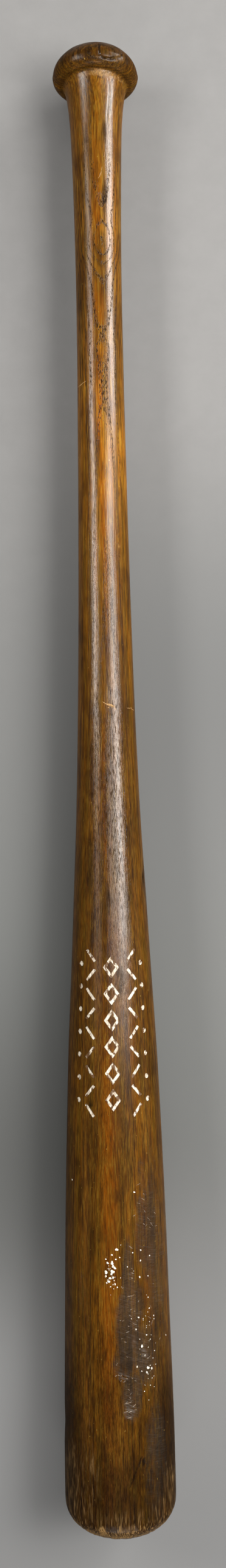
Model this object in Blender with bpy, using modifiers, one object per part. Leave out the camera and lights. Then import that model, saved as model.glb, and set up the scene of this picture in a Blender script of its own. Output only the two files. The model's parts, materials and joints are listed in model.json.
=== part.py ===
# A wooden baseball bat, turned in one piece from an ash billet and lying on a level surface.
# A mark of lozenges, bars and dots is stamped in its barrel and filled with white paint.
# Units are metres and +Z is up. The bat lies along Y with its knob towards +Y. The origin is
# on the surface, under the middle of the bat's bounding box.

import math

import bmesh
import bpy

# The barrel's tip: a full, rounded end with a small flat in the middle.
TIP_FLAT_DIAMETER = 0.024
TIP_LENGTH = 0.0145
TIP_FULLNESS = 2.75

# The turner's gauge points, from the fattest ring of the barrel to the neck behind the knob.
# Each has a diameter and its distance from the gauge point before it.
BARREL_DIAMETER = 0.0663
HITTING_LENGTH = 0.125
HITTING_DIAMETER = 0.0618
MARKED_LENGTH = 0.108
MARKED_DIAMETER = 0.0554
SHOULDER_LENGTH = 0.108
SHOULDER_DIAMETER = 0.0446
TAPER_LENGTH = 0.072
TAPER_DIAMETER = 0.0376
THROAT_LENGTH = 0.108
THROAT_DIAMETER = 0.0318
UPPER_GRIP_LENGTH = 0.072
UPPER_GRIP_DIAMETER = 0.0295
GRIP_LENGTH = 0.120
GRIP_DIAMETER = 0.0277
HEEL_LENGTH = 0.052
HEEL_DIAMETER = 0.0289
FLARE_LENGTH = 0.040
FLARE_DIAMETER = 0.0312
NECK_LENGTH = 0.0246
NECK_DIAMETER = 0.0347

# The knob: a flat face towards the hands, a rounded rim, and an end that rounds over to a flat.
KNOB_DIAMETER = 0.0513
KNOB_FACE_LENGTH = 0.0065
KNOB_FACE_DEPTH = 0.0062
KNOB_END_LENGTH = 0.0130
KNOB_END_FULLNESS = 1.73
KNOB_END_FLAT_DIAMETER = 0.020

# The stamped mark: how far its middle is from the barrel's tip, and its line.
MARK_CENTRE = 0.290
MARK_DEPTH = 0.0012
MARK_LINE_WIDTH = 0.0017
PAINT_CLEARANCE = 0.0003
PAINT_SINK = 0.0001

# A row of hollow lozenges along the middle of the mark.
LOZENGE_COUNT = 6
LOZENGE_PITCH = 0.015
LOZENGE_HALF_LENGTH = 0.0050
LOZENGE_HALF_WIDTH = 0.0036

# A zigzag row of bars on each side of the lozenges, and a row of dots outside each zigzag.
BAR_COUNT = 9
BAR_PITCH = 0.011
BAR_LENGTH = 0.0085
BAR_SLANT = math.radians(40)
BAR_ROW_ANGLE = math.radians(30)
DOT_COUNT = 7
DOT_PITCH = 0.013
DOT_DIAMETER = 0.0030
DOT_ROW_ANGLE = math.radians(47)

# How finely the round shapes are cut into flat faces.
BAT_SIDES = 64
DOT_SIDES = 12
RING_SPACING = 0.027
TIP_STEPS = 9
KNOB_FACE_STEPS = 5
KNOB_END_STEPS = 8

CUTTER_HEIGHT = 0.003
MERGE_DISTANCE = 0.00001
CREASE_ANGLE = math.radians(30)

# The bat's own axis runs from the barrel's tip at 0 up to the knob, and this side faces up.
UPWARD_ANGLE = math.radians(-90)


def smooth_through(gauges, spacing):
    """Points (distance, radius) on a curve through the gauge points that never bulges past them."""
    pairs = list(zip(gauges, gauges[1:]))
    steps = [(b[1] - a[1]) / (b[0] - a[0]) for a, b in pairs]
    inner = [2 * p * q / (p + q) if p * q > 0 else 0.0 for p, q in zip(steps, steps[1:])]
    slopes = [0.0] + inner + [steps[-1]]
    points = []
    for (start, end), slope, next_slope in zip(pairs, slopes, slopes[1:]):
        length = end[0] - start[0]
        count = max(1, math.ceil(length / spacing))
        for i in range(count):
            t = i / count
            radius = (
                start[1] * (1 + 2 * t) * (1 - t) ** 2
                + slope * length * t * (1 - t) ** 2
                + end[1] * t**2 * (3 - 2 * t)
                - next_slope * length * t**2 * (1 - t)
            )
            points.append((start[0] + length * t, radius))
    points.append(gauges[-1])
    return points


def rounded_end(rim_radius, inner_radius, length, fullness, steps, last_angle=math.pi / 2):
    """Points (distance past the rim, radius) in to the inner radius. Fullness 2 gives an ellipse."""
    points = []
    for i in range(steps + 1):
        angle = last_angle * i / steps
        along = length * math.sin(angle) ** (2 / fullness)
        across = max(0.0, math.cos(angle)) ** (2 / fullness)
        points.append((along, inner_radius + (rim_radius - inner_radius) * across))
    return points


def bat_profile():
    """Points (distance from the barrel's tip, radius) of the bat's outline, up to the knob's end."""
    tip = rounded_end(BARREL_DIAMETER / 2, TIP_FLAT_DIAMETER / 2, TIP_LENGTH, TIP_FULLNESS, TIP_STEPS)
    profile = [(TIP_LENGTH - along, radius) for along, radius in reversed(tip)]

    stretches = (
        (HITTING_LENGTH, HITTING_DIAMETER),
        (MARKED_LENGTH, MARKED_DIAMETER),
        (SHOULDER_LENGTH, SHOULDER_DIAMETER),
        (TAPER_LENGTH, TAPER_DIAMETER),
        (THROAT_LENGTH, THROAT_DIAMETER),
        (UPPER_GRIP_LENGTH, UPPER_GRIP_DIAMETER),
        (GRIP_LENGTH, GRIP_DIAMETER),
        (HEEL_LENGTH, HEEL_DIAMETER),
        (FLARE_LENGTH, FLARE_DIAMETER),
        (NECK_LENGTH, NECK_DIAMETER),
    )
    gauges = [(TIP_LENGTH, BARREL_DIAMETER / 2)]
    for length, diameter in stretches:
        gauges.append((gauges[-1][0] + length, diameter / 2))
    profile += smooth_through(gauges, RING_SPACING)[1:]

    # The face rounds in from the rim until it meets the neck, or runs flat to it where the neck is slimmer.
    rim = KNOB_DIAMETER / 2
    neck = NECK_DIAMETER / 2
    face_inner = rim - KNOB_FACE_DEPTH
    meeting = math.acos(max(0.0, (neck - face_inner) / KNOB_FACE_DEPTH))
    face = rounded_end(rim, face_inner, KNOB_FACE_LENGTH, 2, KNOB_FACE_STEPS, meeting)
    rim_at = gauges[-1][0] + face[-1][0]
    if neck >= face_inner:
        face.pop()
    profile += [(rim_at - along, radius) for along, radius in reversed(face)]
    inner = KNOB_END_FLAT_DIAMETER / 2
    end = rounded_end(rim, inner, KNOB_END_LENGTH, KNOB_END_FULLNESS, KNOB_END_STEPS)
    profile += [(rim_at + along, radius) for along, radius in end[1:]]
    return profile


def radius_and_slope(profile, distance):
    """The bat's radius at a distance from the barrel's tip, and how its side leans there."""
    ring = max(i for i, (z, r) in enumerate(profile[:-1]) if z <= distance)
    (z0, r0), (z1, r1) = profile[ring : ring + 2]
    slope = (r1 - r0) / (z1 - z0)
    return r0 + slope * (distance - z0), math.atan(slope)


def resting_place(profile):
    """The tilt at which barrel and knob both touch the surface, and where that puts the barrel's tip."""
    flat_side = math.cos(math.pi / BAT_SIDES)
    sides = [(z, r * flat_side) for z, r in profile]
    middle = sides[-1][0] / 2
    barrel = [side for side in sides if side[0] < middle]
    knob = [side for side in sides if side[0] > middle]
    lean = max(min((rb - rk) / (zk - zb) for zk, rk in knob) for zb, rb in barrel)
    tilt = math.atan(lean)
    height = max(z * math.sin(tilt) + r * math.cos(tilt) for z, r in sides)
    nearest = min(z * math.cos(tilt) - r * math.sin(tilt) for z, r in sides)
    farthest = max(z * math.cos(tilt) + r * math.sin(tilt) for z, r in sides)
    return tilt, (0.0, -(nearest + farthest) / 2, height)


def plain_material(name, colour, roughness):
    material = bpy.data.materials.new(name)
    material.use_nodes = True
    shader = material.node_tree.nodes["Principled BSDF"]
    shader.inputs["Base Color"].default_value = (*colour, 1)
    shader.inputs["Roughness"].default_value = roughness
    shader.inputs["Metallic"].default_value = 0.0
    material.diffuse_color = (*colour, 1)
    return material


def turned_object(name, profile, collection, parent):
    """A solid of revolution about its own Z, from points (distance, radius) that run up the bat."""
    points = [(0.0, profile[-1][0])] + [(r, z) for z, r in reversed(profile)] + [(0.0, profile[0][0])]
    mesh = bpy.data.meshes.new(name)
    edges = [(i, i + 1) for i in range(len(points) - 1)]
    mesh.from_pydata([(r, 0.0, z) for r, z in points], edges, [])
    turned = bpy.data.objects.new(name, mesh)
    collection.objects.link(turned)
    turned.parent = parent
    # Half a side of turn puts flat sides under the bat and on top of it.
    turned.rotation_euler.z = math.pi / BAT_SIDES
    screw = turned.modifiers.new("turning", "SCREW")
    screw.axis = "Z"
    screw.steps = BAT_SIDES
    screw.render_steps = BAT_SIDES
    screw.use_merge_vertices = True
    screw.merge_threshold = MERGE_DISTANCE
    # The turning is applied, so that only its creases are shaded sharp.
    graph = bpy.context.evaluated_depsgraph_get()
    turned.data = bpy.data.meshes.new_from_object(turned.evaluated_get(graph))
    turned.modifiers.clear()
    bpy.data.meshes.remove(mesh)
    turned.data.name = name
    turned.data.shade_smooth()
    turned.data.set_sharp_from_angle(angle=CREASE_ANGLE)
    return turned


def prism_mesh(name, outlines, bottom, top):
    """A closed mesh between two heights from flat outlines, where a second outline is a hole."""
    curve = bpy.data.curves.new(name, "CURVE")
    curve.dimensions = "2D"
    curve.fill_mode = "BOTH"
    curve.extrude = (top - bottom) / 2
    for outline in outlines:
        spline = curve.splines.new("POLY")
        spline.points.add(len(outline) - 1)
        for point, (x, y) in zip(spline.points, outline):
            point.co = (x, y, 0.0, 1.0)
        spline.use_cyclic_u = True
    guide = bpy.data.objects.new(name, curve)
    bpy.context.scene.collection.objects.link(guide)
    graph = bpy.context.evaluated_depsgraph_get()
    mesh = bpy.data.meshes.new_from_object(guide.evaluated_get(graph))
    bpy.data.objects.remove(guide)
    solid = bmesh.new()
    solid.from_mesh(mesh)
    bmesh.ops.remove_doubles(solid, verts=solid.verts, dist=MERGE_DISTANCE)
    bmesh.ops.recalc_face_normals(solid, faces=solid.faces)
    bmesh.ops.translate(solid, verts=solid.verts, vec=(0.0, 0.0, (bottom + top) / 2))
    solid.to_mesh(mesh)
    solid.free()
    mesh.shade_flat()
    return mesh


def lozenge(inset):
    """The outer and inner outlines of a lozenge ring whose line is drawn in by inset on both edges."""
    a, b = LOZENGE_HALF_LENGTH, LOZENGE_HALF_WIDTH
    middle = a * b / math.hypot(a, b)
    half_line = MARK_LINE_WIDTH / 2 - inset
    outlines = []
    for reach in (middle + half_line, middle - half_line):
        k = reach / middle
        outlines.append([(a * k, 0.0), (0.0, b * k), (-a * k, 0.0), (0.0, -b * k)])
    return outlines


def bar(inset, slant):
    """The outline of a slanted bar, drawn in by inset on every side."""
    x, y = BAR_LENGTH / 2 - inset, MARK_LINE_WIDTH / 2 - inset
    c, s = math.cos(slant), math.sin(slant)
    return [[(u * c - v * s, u * s + v * c) for u, v in ((x, y), (-x, y), (-x, -y), (x, -y))]]


def dot(inset):
    """The outline of a dot, drawn in by inset."""
    radius = DOT_DIAMETER / 2 - inset
    turns = [math.tau * i / DOT_SIDES for i in range(DOT_SIDES)]
    return [[(radius * math.cos(turn), radius * math.sin(turn)) for turn in turns]]


def row(count, pitch):
    """Distances from the barrel's tip of a row of shapes, centred on the mark."""
    return [MARK_CENTRE + pitch * (i - (count - 1) / 2) for i in range(count)]


def mark_shapes():
    """Every stamped shape as (name of its paint, kind of outline, distance from the tip, angle)."""
    shapes = []
    for i, distance in enumerate(row(LOZENGE_COUNT, LOZENGE_PITCH)):
        shapes.append((f"paint_lozenge_{i + 1}", "lozenge", distance, 0.0))
    for side, sign in (("left", -1), ("right", 1)):
        for i, distance in enumerate(row(BAR_COUNT, BAR_PITCH)):
            zigzag = sign * (-1) ** i
            leaning = "bar_back" if zigzag > 0 else "bar_forth"
            shapes.append((f"paint_bar_{side}_{i + 1}", leaning, distance, sign * BAR_ROW_ANGLE))
        for i, distance in enumerate(row(DOT_COUNT, DOT_PITCH)):
            shapes.append((f"paint_dot_{side}_{i + 1}", "dot", distance, sign * DOT_ROW_ANGLE))
    return shapes


def placed_object(name, mesh, parent, location, rotation):
    placed = bpy.data.objects.new(name, mesh)
    placed.parent = parent
    placed.location = location
    placed.rotation_euler = rotation
    return placed


def stamp_mark(profile, bat_axis, collections, paint):
    """Makes the cutter of every recess and the paint that fills it."""
    outlines = {
        "lozenge": lozenge,
        "bar_forth": lambda inset: bar(inset, BAR_SLANT),
        "bar_back": lambda inset: bar(inset, -BAR_SLANT),
        "dot": dot,
    }
    cutters = {}
    fills = {}
    paint_floor = PAINT_CLEARANCE - MARK_DEPTH
    for kind, outline in outlines.items():
        cutters[kind] = prism_mesh(kind + "_recess", outline(0.0), -MARK_DEPTH, CUTTER_HEIGHT)
        fills[kind] = prism_mesh(kind + "_paint", outline(PAINT_CLEARANCE), paint_floor, CUTTER_HEIGHT)
        fills[kind].materials.append(paint)

    # The paint stops a hair below the wood, so it is trimmed by a slightly slimmer bat.
    paint_level = [(z, max(0.0, r - PAINT_SINK)) for z, r in profile]
    level = turned_object("paint_level", paint_level, collections["guides"], bat_axis)

    for name, kind, distance, angle in mark_shapes():
        radius, lean = radius_and_slope(profile, distance)
        radius *= math.cos(math.pi / BAT_SIDES)
        turn = UPWARD_ANGLE + angle
        place = (radius * math.cos(turn), radius * math.sin(turn), distance)
        facing = (0.0, math.pi / 2 + lean, turn)
        recess = placed_object(name.replace("paint", "recess"), cutters[kind], bat_axis, place, facing)
        collections["cutters"].objects.link(recess)
        fill = placed_object(name, fills[kind], bat_axis, place, facing)
        collections["bat"].objects.link(fill)
        trim = fill.modifiers.new("trim_to_barrel", "BOOLEAN")
        trim.operation = "INTERSECT"
        trim.solver = "EXACT"
        trim.object = level


def new_collection(name, hidden):
    collection = bpy.data.collections.new(name)
    bpy.context.scene.collection.children.link(collection)
    collection.hide_render = hidden
    return collection


def main():
    for obj in list(bpy.data.objects):
        bpy.data.objects.remove(obj)

    collections = {
        "bat": new_collection("baseball_bat", False),
        "cutters": new_collection("mark_cutters", True),
        "guides": new_collection("paint_guides", True),
    }
    wood = plain_material("oiled_ash", (0.24, 0.115, 0.022), 0.38)
    paint = plain_material("white_mark_paint", (0.72, 0.66, 0.56), 0.6)

    profile = bat_profile()
    tilt, tip_place = resting_place(profile)
    bat_axis = bpy.data.objects.new("bat_axis", None)
    collections["bat"].objects.link(bat_axis)
    bat_axis.location = tip_place
    bat_axis.rotation_euler.x = -math.pi / 2 - tilt

    billet = turned_object("ash_billet", profile, collections["bat"], bat_axis)
    billet.data.materials.append(wood)
    stamp_mark(profile, bat_axis, collections, paint)
    stamping = billet.modifiers.new("stamped_mark", "BOOLEAN")
    stamping.operation = "DIFFERENCE"
    stamping.solver = "EXACT"
    stamping.operand_type = "COLLECTION"
    stamping.collection = collections["cutters"]

    for helper in list(collections["cutters"].objects) + list(collections["guides"].objects):
        helper.hide_render = True
        helper.display_type = "WIRE"
    length = profile[-1][0]
    print(f"bat {length * 1000:.1f} mm long, {BARREL_DIAMETER * 1000:.1f} mm across the barrel")


main()
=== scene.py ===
import json
import math
from functools import partial

import bmesh
import bpy
import numpy as np
from mathutils import Matrix, Vector, noise

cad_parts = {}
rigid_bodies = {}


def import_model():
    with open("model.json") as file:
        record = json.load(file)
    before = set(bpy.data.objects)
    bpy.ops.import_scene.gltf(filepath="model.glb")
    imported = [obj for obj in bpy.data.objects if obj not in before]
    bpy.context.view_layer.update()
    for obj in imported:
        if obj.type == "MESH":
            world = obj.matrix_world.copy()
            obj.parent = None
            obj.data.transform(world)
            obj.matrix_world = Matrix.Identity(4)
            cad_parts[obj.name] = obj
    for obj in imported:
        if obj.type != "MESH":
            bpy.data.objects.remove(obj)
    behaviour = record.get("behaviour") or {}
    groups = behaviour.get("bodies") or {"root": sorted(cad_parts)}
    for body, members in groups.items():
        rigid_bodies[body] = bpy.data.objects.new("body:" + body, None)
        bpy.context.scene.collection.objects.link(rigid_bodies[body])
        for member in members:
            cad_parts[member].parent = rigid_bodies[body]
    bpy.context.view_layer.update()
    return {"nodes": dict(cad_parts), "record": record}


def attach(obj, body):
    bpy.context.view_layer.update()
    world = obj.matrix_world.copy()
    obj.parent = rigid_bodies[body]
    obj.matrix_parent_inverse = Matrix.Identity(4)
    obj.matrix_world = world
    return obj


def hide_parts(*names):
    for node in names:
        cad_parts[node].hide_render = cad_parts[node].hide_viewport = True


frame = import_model()
nodes = frame["nodes"]

# The bat's own frame in millimetres: x across, y from the barrel's tip to the knob, z up through the mark
mounts = {mount["name"]: mount for mount in frame["record"]["mounts"]}
acrossAxis = Vector((1, 0, 0))
alongAxis = Vector(mounts["knob_end"]["axis"]).normalized()
upAxis = acrossAxis.cross(alongAxis)
turnToWorld = Matrix((acrossAxis, alongAxis, upAxis)).transposed()
batFrame = Matrix.Translation(mounts["barrel_end"]["pos_m"]) @ turnToWorld.to_4x4() @ Matrix.Scale(0.001, 4)
rng = np.random.default_rng(34)


def linear(code):  # an sRGB hex colour as the linear values that shaders take
    parts = [int(code[i:i + 2], 16) / 255 for i in (1, 3, 5)]
    return [p / 12.92 if p <= 0.04045 else ((p + 0.055) / 1.055) ** 2.4 for p in parts] + [1.0]


def smoothCurve(at, knots, values):  # a smooth curve through a few points that never swings past them
    knots, values = np.array(knots, float), np.array(values, float)
    steps = np.diff(values) / np.diff(knots)
    product = steps[1:] * steps[:-1]
    inner = np.where(product > 0, 2 * product / np.where(product > 0, steps[1:] + steps[:-1], 1), 0)
    slopes = np.concatenate([steps[:1], inner, steps[-1:]])
    at = np.clip(at, knots[0], knots[-1])
    i = np.clip(np.searchsorted(knots, at, side="right") - 1, 0, len(knots) - 2)
    width = knots[i + 1] - knots[i]
    t = (at - knots[i]) / width
    start = values[i] * (1 + 2 * t) * (1 - t) ** 2 + slopes[i] * width * t * (1 - t) ** 2
    return start + values[i + 1] * t**2 * (3 - 2 * t) - slopes[i + 1] * width * t**2 * (1 - t)


def fade(value, low, high):  # 0 below low, 1 above high, smooth between
    t = np.clip((value - low) / (high - low), 0, 1)
    return t * t * (3 - 2 * t)


def lumps(places, across, along):  # smooth noise, near -1 to 1, with lumps of these sizes in mm
    return np.array([noise.noise(Vector(place)) for place in places / np.array((across, along, across))])


def batPlaces(obj):  # the corners of a world-space mesh, in the bat's frame
    corners = np.array([v.co for v in obj.data.vertices], float)
    toBat = np.array(batFrame.inverted())
    return corners @ toBat[:3, :3].T + toBat[:3, 3]


def newObject(name, data):
    obj = bpy.data.objects.new(name, data)
    bpy.context.scene.collection.objects.link(obj)
    return obj


def meshObject(name, places, faces, material):  # a mesh given in the bat's frame
    mesh = bpy.data.meshes.new(name)
    mesh.from_pydata([batFrame @ Vector(p) for p in places], [], faces)
    mesh.materials.append(material)
    return newObject(name, mesh)


def sewMesh(mesh, apart):  # joins corners closer than this and turns faces outwards
    solid = bmesh.new()
    solid.from_mesh(mesh)
    bmesh.ops.remove_doubles(solid, verts=solid.verts, dist=apart)
    bmesh.ops.recalc_face_normals(solid, faces=solid.faces)
    solid.to_mesh(mesh)
    solid.free()


def addNode(tree, kind, sources, out=None, **settings):  # sources: socket name or number -> value or link
    node = tree.nodes.new("ShaderNode" + kind)
    for name, value in settings.items():
        setattr(node, name, value)
    shown = [socket for socket in node.inputs if socket.enabled]
    for key, value in sources.items():
        socket = shown[key] if isinstance(key, int) else next(s for s in shown if s.name == key)
        if isinstance(value, bpy.types.NodeSocket):
            tree.links.new(value, socket)
        else:
            socket.default_value = value
    return node.outputs[out] if out else next((s for s in node.outputs if s.enabled), None)


smoothly = {"interpolation_type": "SMOOTHSTEP"}  # for MapRange nodes


def nodeAdder(owner):  # addNode for the emptied tree of a material or world
    owner.use_nodes = True
    owner.node_tree.nodes.clear()
    return partial(addNode, owner.node_tree)


# Outline of the turned bat, read from the rings of the frame's billet
billet = {
    "sides": 224,               # facets round, under a millimetre each at the barrel
    "inset": 0.10,              # mm under the frame's flat sides, so that nothing stands proud of them
    "steps": [(26, 0.8), (62, 1.1), (215, 2.8), (815, 4.6), (841, 1.3), (900, 0.45)],   # mm up to, mm apart
    "crease": 38,               # degrees: the stamp's edges are sharper than this and stay crisp
    "frameSides": 64,           # flat sides of the frame's billet
    "ringCorners": 40,          # a whole ring of it has more corners than this, a recess fewer
}


def readOutline():
    places = batPlaces(nodes["ash_billet"])
    places = places[np.argsort(places[:, 1])]
    along, radii = places[:, 1], np.hypot(places[:, 0], places[:, 2])
    flat = math.cos(math.pi / billet["frameSides"])
    starts = np.where(np.diff(along) > 0.02)[0] + 1     # corners within 0.02 mm are in one ring
    rings = []
    for group in np.split(np.arange(len(along)), starts):
        onRing = radii[group] > radii[group].max() - 0.01
        if onRing.sum() > billet["ringCorners"]:
            rings.append((along[group].mean(), radii[group].max() * flat - billet["inset"]))
    rings = [(rings[0][0], 0.0), *rings, (rings[-1][0], 0.0)]
    along, radii = np.array(rings).T
    length = np.concatenate([[0.0], np.cumsum(np.hypot(np.diff(along), np.diff(radii)))])
    return length, along, radii


outlineLength, outlineAlong, outlineRadius = readOutline()


def lengthAt(along):  # mm along the outline from the middle of the tip
    return smoothCurve(along, outlineAlong[1:-1], outlineLength[1:-1])


def radiusAt(along):
    return smoothCurve(lengthAt(along), outlineLength, outlineRadius)


def ringStations():  # lengths along the outline, closer where the shape has more detail
    stations = [0.0]
    while stations[-1] < outlineLength[-1]:
        along = smoothCurve(stations[-1], outlineLength, outlineAlong)
        stations.append(stations[-1] + next(step for upTo, step in billet["steps"] if along < upTo))
    return np.array(stations[1:-1])


# Wear that shapes the wood, in mm from the tip, degrees round from the top, and mm
wear = {
    "unevenness": 0.20,         # mm either way that a hand-turned, handled bat strays from round
    "swellings": [(26, 90, 0.4), (7, 55, 0.6)],     # mm across, mm along, share
    "fibreDepth": 0.35,         # mm deep ruts between broken fibres round the tip
    "fibreReach": 20,           # mm up the barrel that they run
    "fibreRut": (1.7, 9),       # mm across and along of one rut
    "dents": [                  # along, angle, half length, half width, depth
        (479, 6, 4, 4, 0.25), (399, -34, 3, 2, 0.25), (377, 72, 5, 2.5, 0.35), (667, -55, 2, 4, 0.20),
        (58, -88, 7, 5, 0.40), (97, 6, 5, 6, 0.20), (34, -30, 9, 4, 0.20), (249, -29, 3, 3, 0.20),
        (150, 14, 22, 7, 0.15), (128, 10, 20, 8, 0.18), (571, 38, 2, 3, 0.15), (300, 150, 12, 8, 0.30),
        (120, 120, 8, 6, 0.30), (90, -140, 14, 9, 0.35), (620, 170, 6, 5, 0.20), (210, 95, 5, 4, 0.25),
    ],
    "cracks": [                 # mm deep, mm wide, then a line of (mm across, mm along) on the top side
        (0.50, 0.50, [(2.7, 856.0), (2.6, 852.5), (3.0, 849.0), (4.8, 847.5), (8.7, 847.2), (12.5, 848.2),
                      (15.4, 850.2), (15.8, 852.6)]),
        (0.35, 0.38, [(-3.0, 855.0), (-3.3, 852.0), (-2.9, 849.4)]),
        (0.30, 0.40, [(18.0, 853.0), (18.9, 850.4), (18.6, 848.4)]),
        (0.12, 0.26, [(7.6, 840.0), (8.3, 836.0), (8.0, 830.0), (7.0, 823.0), (6.9, 819.0)]),
        (0.12, 0.24, [(9.6, 835.0), (9.0, 829.0), (8.2, 821.0)]),
        (0.15, 0.30, [(-9.0, 765.8), (-10.2, 762.0)]), (0.15, 0.30, [(9.2, 736.0), (9.6, 728.0)]),
        (0.20, 0.45, [(12.5, 51.0), (9.0, 43.0), (5.6, 35.5)]),
    ],
    "crackEnds": (0.3, 3),      # mm from the knob's end: no crack yet, and full depth
    "knobWorn": (838, 846),     # mm along where the knob's top starts to be worn, and is fully
    "flake": {                  # a flake of wood that stands up there: mm across, mm along, mm high
        "across": (2.9, 15.6), "along": (847.4, 858.0), "height": 0.32, "bow": 0.025, "middle": 6,
    },
    "chip": {                   # a split piece lost from the barrel: its corners in mm across and mm along
        "tip": (13.2, 51.0), "left": (6.0, 36.0), "right": (17.0, 44.0), "depth": 0.55, "reach": 22,
    },
}


def lineDistance(x, s, line):  # mm from each point of the surface to a drawn line
    nearest = np.full(x.shape, 1e3)
    for (x0, s0), (x1, s1) in zip(line, line[1:]):
        dx, ds = x1 - x0, s1 - s0
        t = np.clip(((x - x0) * dx + (s - s0) * ds) / (dx * dx + ds * ds), 0, 1)
        nearest = np.minimum(nearest, np.hypot(x - x0 - t * dx, s - s0 - t * ds))
    return nearest


def woodSink(places, s, radius, turn):  # how far the worn surface lies under the turned one
    x, along, up = places.T
    swelling = 1
    for across, length, share in wear["swellings"]:
        swelling = swelling + share * lumps(places, across, length)
    sink = wear["unevenness"] * swelling
    for dentAlong, angle, halfLength, halfWidth, depth in wear["dents"]:
        aside = ((turn - math.radians(angle) + math.pi) % math.tau - math.pi) * radius
        sink += depth * np.exp(-(((along - dentAlong) / halfLength) ** 2) - (aside / halfWidth) ** 2)
    rim = (1 - fade(along, 2, wear["fibreReach"])) * fade(radius, 10, 22)   # not on the flat of the tip
    sink += wear["fibreDepth"] * rim * np.clip(0.35 + lumps(places + 40, *wear["fibreRut"]), 0, 1)

    top = up > 0
    crackEnds = top * fade(outlineAlong[-1] - along, *wear["crackEnds"])
    for depth, width, line in wear["cracks"]:
        near = lineDistance(x, s, [(crackX, lengthAt(crackAlong)) for crackX, crackAlong in line])
        sink += depth * np.exp(-((near / max(width, 0.4)) ** 2)) * crackEnds    # the mesh shows none narrower
    flake = wear["flake"]
    (left, right), (low, high) = flake["across"], flake["along"]
    inFlake = fade(x, left, left + 0.7) * (1 - fade(x, right - 0.7, right))     # 0.7 mm of broken edge
    low = low + flake["bow"] * (x - flake["middle"]) ** 2
    inFlake *= fade(along, low, low + 0.8) * (1 - fade(along, high - 2, high))
    sink += flake["height"] * (fade(along, *wear["knobWorn"]) - inFlake) * top

    chip = wear["chip"]
    tipX, tipAlong = chip["tip"]
    leftEdge = tipAlong - (tipX - x) * (tipAlong - chip["left"][1]) / (tipX - chip["left"][0])
    rightEdge = tipAlong - (x - tipX) * (tipAlong - chip["right"][1]) / (chip["right"][0] - tipX)
    under = fade(np.minimum(leftEdge, rightEdge) - along, 0, 1.0)
    sink += chip["depth"] * under * fade(along, tipAlong - chip["reach"], tipAlong - 4) * top
    return np.maximum(sink, 0)


def wornRadius(places):  # where the worn surface lies, next to any point of the bat
    turn, along = np.arctan2(places[:, 0], places[:, 2]), places[:, 1]
    radius = radiusAt(along)
    surface = np.stack([radius * np.sin(turn), along, radius * np.cos(turn)], 1)
    return radius - woodSink(surface, lengthAt(along), radius, turn)


def turnBillet(material):
    stations, sides = ringStations(), billet["sides"]
    along = smoothCurve(stations, outlineLength, outlineAlong)
    radius = smoothCurve(stations, outlineLength, outlineRadius)
    lean = np.arctan2(np.gradient(radius, stations), np.gradient(along, stations))
    turn = np.tile(np.arange(sides) * math.tau / sides, len(stations))
    stations, along, radius, lean = (np.repeat(row, sides) for row in (stations, along, radius, lean))
    turned = np.stack([radius * np.sin(turn), along, radius * np.cos(turn)], 1)
    outward = np.stack([np.sin(turn) * np.cos(lean), -np.sin(lean), np.cos(turn) * np.cos(lean)], 1)
    worn = turned - outward * woodSink(turned, stations, radius, turn)[:, None]
    ends = [[0, outlineAlong[0], 0], [0, outlineAlong[-1], 0]]
    tipEnd, knobEnd = len(worn), len(worn) + 1
    last = len(worn) - sides
    faces = []
    for j in range(sides):
        k = (j + 1) % sides
        faces.append((tipEnd, k, j))
        faces.append((knobEnd, last + j, last + k))
        for i in range(0, last, sides):
            faces.append((i + j, i + k, i + sides + k, i + sides + j))
    return meshObject("turned_billet", np.concatenate([worn, ends]), faces, material)


# Stamped mark: the shapes' sizes in mm, and how the paint lies in them
stamp = {
    "depth": 1.2, "line": 1.7,
    "lozenge": (10.0, 7.2), "bar": 8.5, "slant": 40, "dot": 3.0, "dotSides": 24,
    "paintGap": 0.02,           # mm clear of the recess's sides
    "paintFloor": 1.1,          # mm under the wood's surface
    "paintLevel": 0.10,         # mm that the worn paint lies under it
    "paintWear": 0.30,          # mm deeper where it is worn most
    "wornSpots": (1.1, 1.6),    # mm across and along of a hollow in it
    "patches": (1.6, 3.0),      # mm across and along of a patch where it is thin
    "grain": 0.24,              # mm cells of the paint's skin
}


def stampOutline(name, inset):  # outline of a stamped shape; a lozenge has a hole
    half = stamp["line"] / 2 - inset
    if "lozenge" in name:
        a, b = stamp["lozenge"][0] / 2, stamp["lozenge"][1] / 2
        middle = a * b / math.hypot(a, b)
        reaches = [(middle + half) / middle, (middle - half) / middle]
        return [[(a * k, 0), (0, b * k), (-a * k, 0), (0, -b * k)] for k in reaches]
    if "dot" in name:
        radius = stamp["dot"] / 2 - inset
        turns = [math.tau * i / stamp["dotSides"] for i in range(stamp["dotSides"])]
        return [[(radius * math.cos(turn), radius * math.sin(turn)) for turn in turns]]
    side = 1 if "right" in name else -1
    slant = math.radians(stamp["slant"]) * side * (-1) ** int(name.split("_")[-1])
    end, cosine, sine = stamp["bar"] / 2 - inset, math.cos(slant), math.sin(slant)
    corners = ((end, half), (-end, half), (-end, -half), (end, -half))
    return [[(x * cosine - y * sine, x * sine + y * cosine) for x, y in corners]]


def stampPlace(name):  # where a shape lies on the barrel, as the frame's paint says
    places = batPlaces(nodes[name])
    along = (places[:, 1].min() + places[:, 1].max()) / 2
    turns = np.arctan2(places[:, 0], places[:, 2])
    turn = (turns.min() + turns.max()) / 2
    r = float(radiusAt(along))
    lean = math.atan(float(radiusAt(along + 1) - radiusAt(along - 1)) / 2)
    outward = Vector((math.sin(turn) * math.cos(lean), -math.sin(lean), math.cos(turn) * math.cos(lean)))
    aside = Vector((math.cos(turn), 0, -math.sin(turn)))
    place = Matrix((aside.cross(outward), aside, outward)).transposed().to_4x4()
    place.translation = Vector((r * math.sin(turn), along, r * math.cos(turn)))
    return place


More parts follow.
